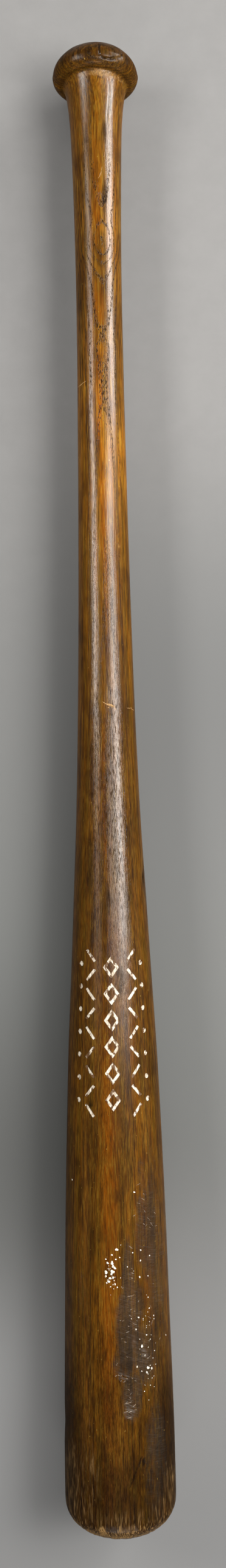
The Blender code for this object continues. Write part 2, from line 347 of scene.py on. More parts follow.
def stampSolid(name, inset, bottom, top):  # a stamped shape between two heights in mm over the wood
    curve = bpy.data.curves.new(name, "CURVE")
    curve.dimensions = "2D"
    curve.fill_mode = "BOTH"
    curve.extrude = (top - bottom) / 2
    for outline in stampOutline(name, inset):
        spline = curve.splines.new("POLY")
        spline.points.add(len(outline) - 1)
        for point, (x, y) in zip(spline.points, outline):
            point.co = (x, y, 0, 1)
        spline.use_cyclic_u = True
    guide = newObject(name, curve)
    mesh = bpy.data.meshes.new_from_object(guide.evaluated_get(bpy.context.evaluated_depsgraph_get()))
    bpy.data.objects.remove(guide)
    sewMesh(mesh, 0.001)
    mesh.transform(Matrix.Translation((0, 0, (bottom + top) / 2)))
    return mesh


def applied(obj):  # the object's mesh with its modifiers, which are then dropped
    mesh = bpy.data.meshes.new_from_object(obj.evaluated_get(bpy.context.evaluated_depsgraph_get()))
    obj.modifiers.clear()
    obj.data = mesh


def stampBillet(wood, names):
    cutters = bpy.data.collections.new("stampCutters")
    bpy.context.scene.collection.children.link(cutters)
    for name in names:
        mesh = stampSolid(name, 0, -stamp["depth"], 3)      # cut from well above the wood
        mesh.transform(batFrame @ stampPlace(name))
        cutters.objects.link(bpy.data.objects.new("cut_" + name, mesh))
    stamping = wood.modifiers.new("stamping", "BOOLEAN")
    stamping.operation = "DIFFERENCE"
    stamping.solver = "EXACT"
    stamping.operand_type = "COLLECTION"
    stamping.collection = cutters
    applied(wood)
    for cutter in list(cutters.objects):
        bpy.data.objects.remove(cutter)
    bpy.data.collections.remove(cutters)
    wood.data.shade_smooth()
    wood.data.set_sharp_from_angle(angle=math.radians(billet["crease"]))


def fillStamp(name, material):  # brushed-in paint, worn back under the wood
    mesh = stampSolid(name, stamp["paintGap"], -stamp["paintFloor"], 0.8)
    mesh.materials.append(material)
    paint = newObject("worn_" + name, mesh)
    remesh = paint.modifiers.new("skin", "REMESH")
    remesh.mode = "VOXEL"
    remesh.voxel_size = stamp["grain"]
    applied(paint)
    place = np.array(stampPlace(name))
    local = np.array([v.co for v in paint.data.vertices], float)
    places = local @ place[:3, :3].T + place[:3, 3]
    worn = np.clip(0.4 + lumps(places, *stamp["wornSpots"]), 0, 1)
    level = wornRadius(places) - stamp["paintLevel"] - stamp["paintWear"] * worn
    share = np.minimum(1, level / np.hypot(places[:, 0], places[:, 2]))
    places[:, 0] *= share
    places[:, 2] *= share
    for vertex, point in zip(paint.data.vertices, places):
        vertex.co = batFrame @ Vector(point)
    saveValues(paint.data, {"patchy": lumps(places, *stamp["patches"])})
    savePlaces(paint.data, places)
    paint.data.shade_smooth()
    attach(paint, "root")
    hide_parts(name)


def saveValues(mesh, values):  # numbers that the materials read at each point
    for name, data in values.items():
        attribute = mesh.attributes.new(name, "FLOAT", "POINT")
        attribute.data.foreach_set("value", np.asarray(data, np.float32))


def savePlaces(mesh, places):  # places in the bat's frame in mm, so that every pattern has its real size
    attribute = mesh.attributes.new("batPlace", "FLOAT_VECTOR", "POINT")
    attribute.data.foreach_set("vector", np.asarray(places, np.float32).ravel())


# Growth rings: which one comes to the top at each distance, and how far it is rolled aside
figure = {
    "ringWidth": 2.0,           # mm, a usual year of ash
    "topRing": [                # mm along, and the ring that is cut through there
        (0, 11.15), (80, 11.2), (130, 11.42), (233, 11.45), (327, 11.4), (352, 11.2), (366, 11.0),
        (385, 10.35), (478, 10.02), (500, 9.6), (520, 9.35), (585, 9.0), (600, 8.85), (640, 8.5),
        (662, 8.2), (677, 8.25), (686, 8.42), (693, 7.97), (700, 8.3), (712, 8.6), (725, 8.98),
        (737, 10.03), (742, 10.75), (748, 11.1), (755, 10.9), (761, 10.6), (768, 11.0), (775, 11.3),
        (795, 11.68), (840, 11.8), (864, 11.9),
    ],
    "roll": [                   # mm along, and the degrees that the rings are rolled to the right
        (0, -10), (70, -10), (210, -4), (327, 7), (380, 4), (500, 7), (680, 9), (864, 8),
    ],
    "waviness": 0.22,           # rings that it wanders
    "waves": (14, 110),         # mm across and along of one wave
    "eye": (748, 11, 11, 24, 0.95),     # mm along, degrees round, half length, half degrees, rings higher
    "pores": [                  # mm along, and how open the pores are
        (0, 0.25), (300, 0.3), (420, 0.4), (540, 0.45), (610, 0.6), (660, 1.0), (785, 1.0), (805, 0.35),
        (840, 0.5), (846, 1.0), (864, 1.0),
    ],
    "tone": [                   # mm along, and how light the wood is
        (0, 0.34), (40, 0.36), (110, 0.43), (250, 0.44), (330, 0.32), (420, 0.36), (560, 0.47),
        (640, 0.77), (690, 0.61), (715, 0.45), (760, 0.57), (800, 0.57), (836, 0.46), (846, 0.67),
        (864, 0.64),
    ],
    "straight": (15, 838),      # mm along: beyond these the rings run straight on, through tip and knob
    "flank": (0.45, 0.85),      # sine of the turn from the top at which the rings come to stand on edge
    "rolled": (0.09, 0.50, 0.80, 0.90),     # sides dulled by rolling: radians off the top, two sines, share
}

# The old finish in patches, some of them painted shade and sheen: mm along, degrees round, half length, half
# width in degrees, strength
finish = {
    # Grime in blots, at both ends and over the knob; darker along the barrel's left flank and along the
    # underside; the spot at 47.5 mm, 25 degrees is painted shade in the hollow under the chip's apex
    "grimeAndShade": [
        (0, 0, 62, 400, 0.62), (40, -75, 85, 42, 0.85), (76, -62, 26, 14, 0.6), (45, 62, 62, 30, 0.80),
        (160, -85, 210, 34, 0.50), (20, -20, 46, 34, 0.6), (30, 22, 20, 20, 0.6), (855, 0, 14, 400, 0.72),
        (811, 19, 9, 7, 0.8), (776, 18, 9, 8, 0.7), (249.6, -29, 3, 3.5, 0.9), (399, -34, 3.5, 4, 0.6),
        (377, 72, 5, 6, 0.9), (523.6, -32, 1.0, 2.5, 1.0), (250, 15, 5, 4, 0.5), (365, -2, 12, 5, 0.55),
        (150, -30, 26, 10, 0.35), (196, -45, 12, 4, 0.6), (838, 90, 8, 60, 0.3), (838, -90, 8, 60, 0.3),
        (590, -6, 9, 12, 0.35), (210, 176, 240, 60, 0.40), (650, 180, 160, 60, 0.25), (72, 62, 28, 12, 0.55),
        (172, -27, 14, 5, 0.6), (108, 8, 24, 10, 0.45), (120, -16, 9, 2.5, 0.6), (100, 24, 30, 8, 0.35),
        (425, 10, 120, 9, 0.30), (47.5, 25, 3.4, 2.2, 1.0), (60, 40, 40, 20, 0.5), (30, 0, 30, 60, 0.35),
    ],
    "amber": [
        (205, -7, 115, 11, 0.72), (110, -11, 60, 9, 0.9), (50, -10, 34, 8, 0.4), (340, 4, 24, 14, 0.5),
        (711, 0, 14, 16, 0.6), (655, -4, 32, 9, 1.0), (605, 0, 46, 7, 0.8), (425, -7, 56, 4.5, 0.55),
        (775, -3, 36, 10, 0.6), (560, 4, 60, 4, 0.5), (175, 30, 60, 9, 0.35), (285, 28, 40, 8, 0.3),
    ],
    "fibres": [
        (0, -62, 62, 44, 0.95), (0, 66, 50, 34, 0.95), (0, 0, 26, 400, 0.8), (38, -34, 30, 22, 0.6),
        (8, 10, 12, 40, 1.0), (60, -30, 18, 6, 0.5), (843, 10, 3, 60, 0.30),
    ],
    "dull": [
        (425, 14, 95, 34, 1.0), (440, -22, 120, 16, 0.9), (620, -22, 110, 10, 0.55), (330, 5, 60, 40, 0.6),
        (240, 0, 60, 400, 0.4), (60, 0, 90, 400, 0.8), (850, 0, 14, 400, 0.5), (560, 30, 40, 25, 0.3),
        (800, -25, 14, 14, 0.8),
    ],
    # Scuffed, greyed finish; the patch at 320 mm, 11 degrees is painted sheen, the dim tail of a highlight
    "scuff": [
        (175, 38, 36, 20, 0.9), (122, 11, 28, 15, 1.2), (150, 13, 30, 9, 0.95), (320, 11, 13, 9, 0.6),
        (86, 14, 18, 13, 0.9), (108, 32, 22, 18, 0.85), (45, 42, 42, 26, 0.60), (75, -60, 30, 14, 0.45),
        (808, -22, 12, 9, 0.7), (700, 50, 30, 12, 0.4), (140, -42, 20, 12, 0.45), (210, 32, 14, 9, 0.6),
        (160, 52, 80, 26, 0.65), (104, 2, 12, 12, 0.7), (138, 22, 16, 16, 0.8),
    ],
    "scrape": [
        (97, 6, 4, 9, 0.9), (79, 11, 8, 8, 0.9), (138, 32, 8, 8, 0.5), (192, 30, 12, 9, 0.5),
        (108, 30, 8, 7, 0.7), (150, -44, 10, 8, 0.5), (118, 14, 10, 8, 0.5), (152, 12, 8, 8, 0.5),
        (318, 12, 10, 8, 0.5),
    ],
    "bare": [
        (479, 5, 2.4, 8, 0.5), (12, -1, 7, 2, 0.6), (9, -19, 5, 5, 0.8),
        (344, 74, 7, 4, 0.4), (842.5, 10, 2.6, 70, 0.60), (842.5, 180, 2.6, 130, 0.35),
        (2, 0, 8, 400, 0.68), (8, 12, 9, 24, 0.5), (45, -29, 8, 3, 0.55), (129, -33, 10, 8, 0.4),
        (36, -55, 30, 20, 0.45), (30, 62, 26, 18, 0.45), (120, 30, 14, 7, 0.45),
        (849, 34, 4, 12, 0.5), (786, 11, 3, 1.5, 0.7), (724.6, 51.5, 1.5, 3, 0.8), (571, 38, 1.0, 8, 0.6),
    ],
}


def patchValues(along, turn, patches):  # full in a patch's middle third, faded out beyond its rim
    total = np.zeros(len(along))
    for centre, angle, halfLength, halfAngle, strength in patches:
        aside = (turn - math.radians(angle) + math.pi) % math.tau - math.pi
        reach = np.hypot((along - centre) / halfLength, aside / math.radians(halfAngle))
        total = np.maximum(total, strength * (1 - fade(reach, 0.35, 1.35)))
    return total


def saveWoodMaps(wood):
    places = batPlaces(wood)
    x, along, up = places.T
    turn = np.arctan2(x, up)
    top = radiusAt(np.clip(along, *figure["straight"]))
    roll = np.radians(smoothCurve(along, *zip(*figure["roll"])))
    drop = top - (x * np.sin(roll) + up * np.cos(roll))     # mm under the top of the bat
    ring = smoothCurve(along, *zip(*figure["topRing"])) - drop / figure["ringWidth"]
    ring += figure["waviness"] * lumps(places, *figure["waves"])
    eyeAlong, eyeTurn, eyeLength, eyeWidth, eyeRise = figure["eye"]
    eye = ((along - eyeAlong) / eyeLength) ** 2 + ((np.degrees(turn) - eyeTurn) / eyeWidth) ** 2
    ring += eyeRise * np.exp(-eye)
    values = {name: patchValues(along, turn, patches) for name, patches in finish.items()}
    values["ring"] = ring
    values["tone"] = smoothCurve(along, *zip(*figure["tone"]))
    values["porous"] = smoothCurve(along, *zip(*figure["pores"]))
    values["flank"] = fade(np.abs(np.sin(turn - roll)), *figure["flank"])
    offTop, startDull, fullDull, loss = figure["rolled"]
    values["polish"] = 1 - loss * fade(np.abs(np.sin(turn - offTop)), startDull, fullDull)
    values["crack"] = np.zeros(len(along))
    for _, width, line in wear["cracks"]:
        line = [(crackX, lengthAt(crackAlong)) for crackX, crackAlong in line]
        near = lineDistance(x, lengthAt(along), line)
        values["crack"] = np.maximum(values["crack"], np.exp(-((near / width) ** 2)) * (up > 0))
    saveValues(wood.data, values)
    savePlaces(wood.data, places)


# Ash, turned on a lathe, oiled and handled for decades: dark open pores in bands between smooth amber
# latewood, a satin skin of old finish that is worn through at the ends, and dirt in every pore
ash = {
    "latewood": "#965C08", "earlywood": "#5E3C0A", "ringLine": "#382308", "amber": "#A85700",
    "olive": "#75550C", "umber": "#4E2C04", "thread": "#A67E28",
    # The grime colour also paints shade in one hollow, and the scuff colour a dim sheen in one patch
    "pore": "#140B04", "streak": "#B47A22", "grimeAndShade": "#170E07", "scuff": "#49423A", "bare": "#B8925F",
    "scratch": "#A0968E", "fleck": "#D0A850",
    "patterns": {               # mm wide, mm long, detail, shift, degrees off the grain
        "fibre": (0.9, 32, 3, 7, 0), "hair": (0.34, 7, 3, 31, 0), "threads": (0.40, 15, 4, 71, 0),
        "stripes": (6.5, 260, 2, 37, 0), "tufts": (0.42, 11, 2, 91, 0),
        "bands": (2.8, 130, 2, 57, 0), "cloud": (13, 45, 3, 19, 0), "breakUp": (1.6, 5.0, 3, 83, 0),
        "waver": (2.6, 26, 3, 3, 0), "rub": (0.42, 6, 2, 41, 66), "crossRub": (0.40, 4, 2, 5, 108),
        "vessels": (0.30, 8, 2, 13, 0), "specks": (0.9, 1.6, 0, 29, 0),
        "openGrain": (0.30, 4.2, 2, 51, 0), "smudge": (7, 16, 3, 67, 0),
        "pores": (0.30, 1.9, 1, 11, 0),     # real pores are 0.2 mm wide, drawn coarser so that they show
    },
    "scratchDepth": 40,         # mm up and down in which a scratch off the grain stays the same
    "ringWaver": 0.20,          # rings that each line wavers
    "poresOpen": (0.0, 0.06), "poresClose": (0.50, 0.15),   # parts of a ring's width where its pores lie
    "crowding": (0.24, 0.16),   # more pores in that band, and where the wood's clouds are light
    "masks": {                  # a pattern, and where the mask drawn from it starts and is full
        "late": ("phase", 0.60, 1.0), "pores": ("crowded", 0.80, 0.90), "streaks": ("fibre", 0.50, 0.70),
        "hairs": ("hair", 0.50, 0.68), "glints": ("hair", 0.47, 0.30), "gaps": ("hair", 0.38, 0.58),
        "lightThreads": ("threads", 0.54, 0.61), "darkThreads": ("threads", 0.47, 0.39),
        "olives": ("bands", 0.48, 0.62), "umbers": ("bands", 0.47, 0.36), "stripes": ("stripes", 0.50, 0.36),
        "flecks": ("specks", 0.84, 0.88), "rub": ("rub", 0.54, 0.64), "crossRub": ("crossRub", 0.55, 0.66),
        "fibres": ("tufts", 0.55, 0.68), "scrape": ("rub", 0.47, 0.57), "open": ("openGrain", 0.50, 0.58),
        "smudges": ("smudge", 0.52, 0.68),
    },
    "raggedness": 0.55,         # how far noise breaks up the rims of the patches
    "ragged": {                 # patches of the finish, and where each starts and is full
        "scuff": (0.85, 1.45), "grimeAndShade": (0.62, 1.50), "bare": (0.95, 1.35), "fibresReach": (0.85, 1.60),
        "scrapeReach": (1.0, 1.4),
    },
    "within": {                 # masks that show only within another, or as far as a value lets them
        "bare": "gaps", "pores": "porous", "early": "porous", "late": "porous", "rub": "scuff",
        "crossRub": "scuff", "fibres": "fibresReach", "scrape": "scrapeReach", "open": "dull",
    },
    "layers": [                 # painted over the latewood one after another: mask, share, colour
        ("olives", 0.65, "olive"), ("umbers", 0.80, "umber"), ("stripes", 0.55, "umber"),
        ("early", 0.65, "earlywood"), ("late", 0.60, "ringLine"), ("amber", 0.75, "amber"),
        ("streaks", 0.30, "streak"), ("darkThreads", 0.55, "ringLine"), ("lightThreads", 0.60, "thread"),
        ("glints", 0.20, "streak"), ("smudges", 0.45, "umber"), ("hairs", 0.40, "ringLine"),
        # The grime layer also lays painted shade, and the scuff layer painted sheen, where the finish's
        # patches hold them
        ("open", 0.55, "pore"), ("pores", 0.90, "pore"), ("grimeAndShade", 0.8, "grimeAndShade"), ("scuff", 0.60, "scuff"),
        ("rub", 0.12, "scratch"), ("crossRub", 0.40, "grimeAndShade"), ("scrape", 0.35, "scratch"),
        ("crack", 0.8, "pore"), ("flecks", 0.6, "fleck"),
    ],
    "bareLayers": [("bare", 0.6), ("fibres", 0.55)],    # over the tone as well: mask, share
    "clouds": (0.3, 0.7, 0.62, 1.24),       # noise from and to, and how light the wood is there
    "rougher": [("pores", 0.30), ("scuff", 0.12), ("grimeAndShade", 0.20), ("bare", 0.30), ("dull", 0.12)],
    "coatLost": [               # worn or dirty finish, and the open grain that it doesn't fill
        ("grimeAndShade", 0.75), ("scuff", 0.8), ("bare", 1.0), ("dull", 0.15), ("open", 0.85), ("pores", 0.85),
    ],
    "relief": {"fibre": 0.12, "hair": 0.08}, "poreRelief": -0.06,       # mm, halved by the bump's strength
    "roughness": (0.25, 0.15),  # at its least, and more in a cloud
    "gloss": 0.04, "coat": 0.95, "coatRoughness": 0.21, "gleam": "#FFE9CC",
}


def ashMaterial():
    material = bpy.data.materials.new("oiled_turned_ash")
    add = nodeAdder(material)
    place = add("Attribute", {}, "Vector", attribute_name="batPlace")
    read = {}
    for name in ("ring", "tone", "porous", "flank", "polish", "crack", *finish):
        read[name] = add("Attribute", {}, "Fac", attribute_name=name)
    for name, (width, length, detail, shift, degrees) in ash["patterns"].items():
        spot = add("Mapping", {
            "Vector": place, "Location": (shift, shift, shift), "Rotation": (0, 0, math.radians(degrees)),
            "Scale": (width, length, ash["scratchDepth"] if degrees else width)}, vector_type="TEXTURE")
        read[name] = add("TexNoise", {"Vector": spot, "Scale": 1.0, "Detail": detail}, "Fac")

    # Where each ring's pores lie (early) and its dark closing line (late)
    ring = add("Math", {0: read["waver"], 1: ash["ringWaver"], 2: read["ring"]}, operation="MULTIPLY_ADD")
    read["phase"] = add("Math", {0: ring}, operation="FRACT")
    band = []
    for low, high in (ash["poresOpen"], ash["poresClose"]):
        band.append(add("MapRange", {"Value": read["phase"], 1: low, 2: high}, **smoothly))
    masks = {"early": add("Math", {0: band[0], 1: band[1]}, operation="MULTIPLY")}
    crowded = add("Mix", {0: read["flank"], 1: read["pores"], 2: read["vessels"]})
    for source, more in zip((masks["early"], read["cloud"]), ash["crowding"]):
        crowded = add("Math", {0: source, 1: more, 2: crowded}, operation="MULTIPLY_ADD")
    read["crowded"] = crowded

    sources = {name: (read[pattern], low, high) for name, (pattern, low, high) in ash["masks"].items()}
    for name, (low, high) in ash["ragged"].items():
        patch = read[name.removesuffix("Reach")]
        for pattern in ("breakUp", "cloud"):
            patch = add("Math", {0: read[pattern], 1: ash["raggedness"], 2: patch},
                        operation="MULTIPLY_ADD")
        sources[name] = (patch, low, high)
    for name, (source, low, high) in sources.items():
        masks[name] = add("MapRange", {"Value": source, 1: low, 2: high}, **smoothly)
    for name, limit in ash["within"].items():
        limit = masks[limit] if limit in masks else read[limit]
        masks[name] = add("Math", {0: masks[name], 1: limit}, operation="MULTIPLY")
    for name in ("amber", "crack", "dull"):
        masks[name] = read[name]

    wood = linear(ash["latewood"])
    for mask, strength, colour in ash["layers"]:
        share = add("Math", {0: masks[mask], 1: strength}, operation="MULTIPLY")
        wood = add("Mix", {0: share, 1: wood, 2: linear(ash[colour])}, data_type="RGBA")
    low, high, dark, light = ash["clouds"]
    tone = add("MapRange", {"Value": read["cloud"], 1: low, 2: high, 3: dark, 4: light})
    tone = add("Math", {0: tone, 1: read["tone"]}, operation="MULTIPLY")
    wood = add("Mix", {0: 1.0, 1: wood, 2: tone}, data_type="RGBA", blend_type="MULTIPLY")
    for mask, strength in ash["bareLayers"]:
        share = add("Math", {0: masks[mask], 1: strength}, operation="MULTIPLY")
        wood = add("Mix", {0: share, 1: wood, 2: linear(ash["bare"])}, data_type="RGBA")

    smoothest, cloudy = ash["roughness"]
    rough = add("Math", {0: read["cloud"], 1: cloudy, 2: smoothest}, operation="MULTIPLY_ADD")
    for mask, more in ash["rougher"]:
        rough = add("Math", {0: masks[mask], 1: more, 2: rough}, operation="MULTIPLY_ADD")
    coat = add("Math", {0: read["polish"], 1: ash["coat"]}, operation="MULTIPLY")
    for mask, loss in ash["coatLost"]:
        left = add("Math", {0: masks[mask], 1: -loss, 2: 1.0}, operation="MULTIPLY_ADD", use_clamp=True)
        coat = add("Math", {0: left, 1: coat}, operation="MULTIPLY")
    height = add("Math", {0: masks["pores"], 1: ash["poreRelief"]}, operation="MULTIPLY")
    for pattern, rise in ash["relief"].items():
        height = add("Math", {0: read[pattern], 1: rise, 2: height}, operation="MULTIPLY_ADD")
    bump = add("Bump", {"Height": height, "Strength": 0.5, "Distance": 0.001})    # heights in mm
    shader = add("BsdfPrincipled", {
        "Base Color": wood, "Roughness": rough, "Normal": bump, "IOR": 1.5,
        "Specular IOR Level": ash["gloss"], "Specular Tint": linear(ash["gleam"]),
        "Coat Weight": coat, "Coat Roughness": ash["coatRoughness"], "Coat Normal": bump,
    })
    add("OutputMaterial", {"Surface": shader})
    return material


# Oil paint, wiped into the stamp by hand: chalky white, thin and brown with grime where it is worn
markPaint = {
    "white": "#D2CCBE", "stained": "#8A6F4E", "worn": "#5A3E20", "roughness": 0.6,
    "specksPerMm": 1.4, "stainsPerMm": 0.45,    # specks of 0.7 mm and stains of 2 mm
    "stain": (0.42, 0.66, 0.55),                # where the stains start and are full, and their share
    "wornThrough": (0.54, 0.74),
}


def markPaintMaterial():
    material = bpy.data.materials.new("wiped_oil_paint")
    add = nodeAdder(material)
    place = add("Attribute", {}, "Vector", attribute_name="batPlace")
    patchy = add("Attribute", {}, "Fac", attribute_name="patchy")
    speck = add("TexNoise", {
        "Vector": place, "Scale": markPaint["specksPerMm"], "Detail": 3.0, "Roughness": 0.6}, "Fac")
    film = add("TexNoise", {"Vector": place, "Scale": markPaint["stainsPerMm"], "Detail": 2.0}, "Fac")
    thin = add("Math", {0: speck, 1: patchy}, operation="ADD")
    start, full, share = markPaint["stain"]
    stained = add("MapRange", {"Value": film, 1: start, 2: full}, **smoothly)
    stained = add("Math", {0: stained, 1: share}, operation="MULTIPLY")
    start, full = markPaint["wornThrough"]
    worn = add("MapRange", {"Value": thin, 1: start, 2: full}, **smoothly)
    colour = add("Mix", {
        0: stained, 1: linear(markPaint["white"]), 2: linear(markPaint["stained"])}, data_type="RGBA")
    colour = add("Mix", {0: worn, 1: colour, 2: linear(markPaint["worn"])}, data_type="RGBA")
    bump = add("Bump", {"Height": speck, "Strength": 0.5, "Distance": 0.0001})
    shader = add("BsdfPrincipled", {
        "Base Color": colour, "Roughness": markPaint["roughness"], "Normal": bump, "IOR": 1.48})
    add("OutputMaterial", {"Surface": shader})
    return material


# Gloss paint, splashed from a brush: small white domes with a soft shine
splash = {
    "white": "#F0EDE4", "aged": "#CFC6B2", "roughness": 0.35,
    "cloudsPerMm": 0.9,         # yellowed patches of about a millimetre
    "yellowed": (0.45, 0.70),   # where they start and are full
    "rise": 0.30,               # a drop's height as a share of its half width
    "drops": [                  # along, angle, half width in mm
        (168.6, 0.6, 0.80), (165.6, -4.7, 0.50), (163.1, -11.5, 0.40), (163.1, -0.5, 0.45),
        (164.1, 3.8, 0.35), (161.0, -9.5, 0.65), (161.1, -4.6, 0.95), (159.3, -3.7, 0.75),
        (158.3, -1.8, 0.75), (155.7, -11.3, 0.95), (156.2, -4.3, 1.10), (155.0, -5.4, 0.70),
        (153.5, -11.6, 0.60), (152.5, -7.0, 0.70), (152.8, -3.8, 0.60), (150.6, -8.5, 0.75),
        (149.8, -10.7, 0.40), (149.1, -1.6, 0.50), (147.4, 0.6, 0.40), (199.9, 22.2, 0.50),
        (166.7, 28.0, 0.45), (162.2, 39.7, 0.40), (166.1, 18.4, 0.35), (160.9, 27.4, 0.45),
        (151.7, 25.9, 0.50), (151.1, 36.5, 0.35), (139.1, 35.7, 0.35), (132.8, 36.8, 0.40),
        (129.2, 23.3, 0.45), (127.6, 42.7, 0.35), (122.8, 20.0, 0.40), (118.3, 32.2, 0.40),
        (112.7, 26.2, 0.75), (101.8, 20.1, 0.50), (99.7, 32.8, 0.85), (98.7, 37.4, 0.60),
        (97.4, 31.2, 0.60), (112.2, 63.7, 0.35), (203.6, -59.2, 0.45),
    ],
    "spray": [                  # along, angle, their spreads, count of fine drops
        (155, -5, 6, 4, 16), (115, 34, 14, 6, 22), (95, 36, 8, 5, 14), (148, 8, 14, 8, 8),
    ],
    "sprayWidth": (0.14, 0.32),     # mm, half widths from and to
}

# Bare ash fibres, torn up pale where the bat was knocked and dragged: thin slivers that stand up a little
slivers = {
    "chalky": "#928B84", "shade": "#7A5C36", "roughness": 0.75,
    "fraysPerMm": 2.2,          # shadows between fibres, half a millimetre apart
    "shadows": (0.45, 0.62),    # where they start and are full
    "chalkyFrom": (240, 200),   # mm along: tan above the first, and dusty grey below the second
    "rise": 0.45,               # a sliver's height as a share of its half width
    "strokes": [                # along, angle, half length, half width in mm, degrees off the grain
        (479.5, -4.8, 1.0, 0.14, -52), (478.6, 0.1, 1.2, 0.20, -60), (478.4, 4.7, 1.1, 0.27, -73),
        (477.5, 7.6, 1.2, 0.27, -83), (478.0, 10.5, 1.2, 0.27, -61), (476.9, 13.4, 1.3, 0.24, -84),
        (477.4, 15.2, 0.7, 0.17, -78), (475.7, 17.8, 0.9, 0.14, -43), (476.4, 4.6, 0.7, 0.14, -77),
        (476.4, 50.8, 2.0, 0.10, -89), (476.4, 58.9, 0.6, 0.17, -50), (475.7, 65.5, 1.6, 0.12, -77),
        (666.3, -68.9, 1.8, 0.15, 89), (666.4, -57.7, 1.4, 0.27, 84), (666.8, -49.9, 1.2, 0.20, 78),
        (667.1, -41.9, 1.1, 0.12, 78), (789.2, 12.2, 1.5, 0.10, 11), (786.5, 9.2, 1.3, 0.14, 20),
        (784.5, 5.6, 0.9, 0.12, 29), (397.2, -34.9, 1.2, 0.12, -63), (141.9, 12.8, 0.8, 0.17, -79),
        (142.1, 17.6, 1.0, 0.12, 71), (97.9, -2.2, 0.7, 0.17, 65), (98.2, 0.5, 0.6, 0.17, -64),
        (98.0, 2.9, 0.5, 0.17, 72), (96.0, 9.1, 0.6, 0.17, -69), (95.9, 14.4, 0.4, 0.14, -59),
        (82.3, 9.2, 1.8, 0.20, 80), (80.5, 15.9, 1.0, 0.24, 56), (77.6, 7.4, 1.4, 0.17, 82),
        (77.4, 11.4, 1.6, 0.17, 77), (74.2, 10.7, 1.6, 0.14, 82),
    ],
    "rubbed": [                 # along, angle, their spreads, count of small strokes across the grain
        (118, 12, 12, 6, 12), (150, 14, 12, 6, 6), (182, 36, 14, 9, 14), (88, 12, 8, 6, 10),
        (120, 38, 16, 8, 8),
    ],
    "rubbedLength": (0.4, 1.5), "rubbedWidth": (0.06, 0.12), "rubbedTurn": (25, 155),
}

# Low closed domes on the wood: drops of paint and slivers of wood
dome = {
    "levels": (0.0, 0.45, 0.75, 0.95, 1.0),     # its rings from the top to the rim, as shares of its width
    "corners": 14,              # in each ring
    "ripple": (0.22, 0.12),     # how far the rim strays from an ellipse, in two lobes and in three
    "sunk": 0.2,                # mm that the rim is sunk in the wood, where the dome is closed
}


def domeMesh(shapes, rise):  # shapes: along, angle, half length, half width, degrees off the grain
    places, faces = [], []
    corners, rings = dome["corners"], len(dome["levels"])
    twoLobes, threeLobes = dome["ripple"]
    for along, angle, halfLength, halfWidth, degrees in shapes:
        start = len(places)
        turn, radius = math.radians(angle), float(radiusAt(along))
        cosine, sine = math.cos(math.radians(degrees)), math.sin(math.radians(degrees))
        swell = rng.uniform(0.75, 1.25, 3)
        for level in dome["levels"]:
            lift = rise * halfWidth * math.sqrt(1 - level**2) if level < 1 else -dome["sunk"]
            for k in range(corners):
                step = math.tau * k / corners
                edge = 1 + twoLobes * math.sin(2 * step + swell[0] * 9) * swell[1]
                edge += threeLobes * math.sin(3 * step + swell[2] * 9)
                ahead = halfLength * level * edge * math.cos(step)
                aside = halfWidth * level * edge * math.sin(step)
                around = turn + (ahead * sine + aside * cosine) / radius
                place = math.sin(around), along + ahead * cosine - aside * sine, math.cos(around)
                places.append((*place, lift))
        for ring in range(start, start + (rings - 1) * corners, corners):
            for k in range(corners):
                n = (k + 1) % corners
                faces.append((ring + k, ring + n, ring + corners + n, ring + corners + k))
        faces.append([start + (rings - 1) * corners + k for k in range(corners)])
    places = np.array(places)
    reach = wornRadius(places[:, :3]) + places[:, 3]
    return np.stack([reach * places[:, 0], places[:, 1], reach * places[:, 2]], 1), faces


def scattered(groups, lengths, widths, degrees):  # strewn shapes, round if no lengths are given
    shapes = []
    for along, angle, spreadLength, spreadAngle, count in groups:
        for _ in range(count):
            width = rng.uniform(*widths)
            length = rng.uniform(*lengths) if lengths else width
            place = rng.normal(along, spreadLength), rng.normal(angle, spreadAngle)
            shapes.append((*place, length, width, rng.uniform(*degrees)))
    return shapes


def makeDomes(name, shapes, rise, material):
    places, faces = domeMesh(shapes, rise)
    domes = meshObject(name, places, faces, material)
    sewMesh(domes.data, 0.000001)  # each top ring is one point
    domes.data.shade_smooth()
    savePlaces(domes.data, batPlaces(domes))
    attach(domes, "root")
    return domes


def splashMaterial():
    material = bpy.data.materials.new("splashed_gloss_paint")
    add = nodeAdder(material)
    place = add("Attribute", {}, "Vector", attribute_name="batPlace")
    cloud = add("TexNoise", {"Vector": place, "Scale": splash["cloudsPerMm"], "Detail": 2.0}, "Fac")
    start, full = splash["yellowed"]
    aged = add("MapRange", {"Value": cloud, 1: start, 2: full}, **smoothly)
    colour = add("Mix", {0: aged, 1: linear(splash["white"]), 2: linear(splash["aged"])}, data_type="RGBA")
    shader = add("BsdfPrincipled", {"Base Color": colour, "Roughness": splash["roughness"], "IOR": 1.5})
    add("OutputMaterial", {"Surface": shader})
    return material


def makeSplashes():
    shapes = [(along, angle, width, width, 0) for along, angle, width in splash["drops"]]
    shapes += scattered(splash["spray"], None, splash["sprayWidth"], (0, 90))
    makeDomes("paint_splashes", shapes, splash["rise"], splashMaterial())


